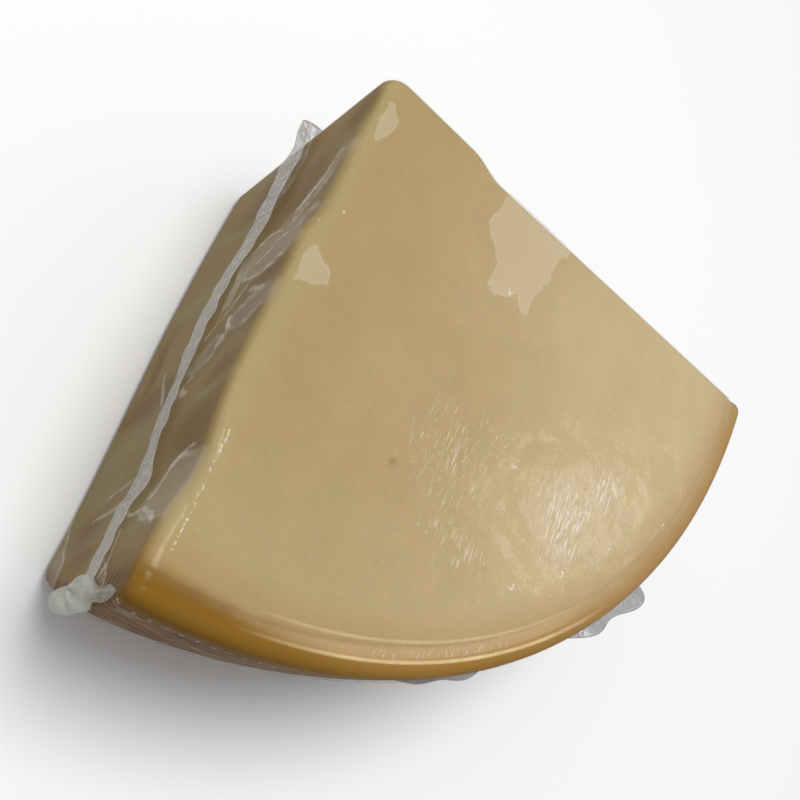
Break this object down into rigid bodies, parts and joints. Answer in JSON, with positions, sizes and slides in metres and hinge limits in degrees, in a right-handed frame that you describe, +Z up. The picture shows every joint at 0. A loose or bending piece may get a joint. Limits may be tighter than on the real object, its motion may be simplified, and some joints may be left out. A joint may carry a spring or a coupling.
{
  "type": "wedge of hard cheese in a vacuum bag",
  "caption": "Quarter of a half wheel of hard cheese with its rind, sealed in a clear vacuum bag with a welded seam and a loose end flap.",
  "frame": {"origin": "middle of the underside's box, on the surface that the wedge rests on", "axes": "+Z up through the level cut; the left upright cut face looks towards -Y, the right one towards -X, and the bulging rind towards +X +Y"},
  "size_m": [0.2244, 0.2406, 0.1072],
  "materials": {
    "cheese": "satin",
    "film": "gloss"
  },
  "bodies": {
    "root": {"cheese_wedge": "cheese", "vacuum_bag": "film"}
  },
  "joints": []
}
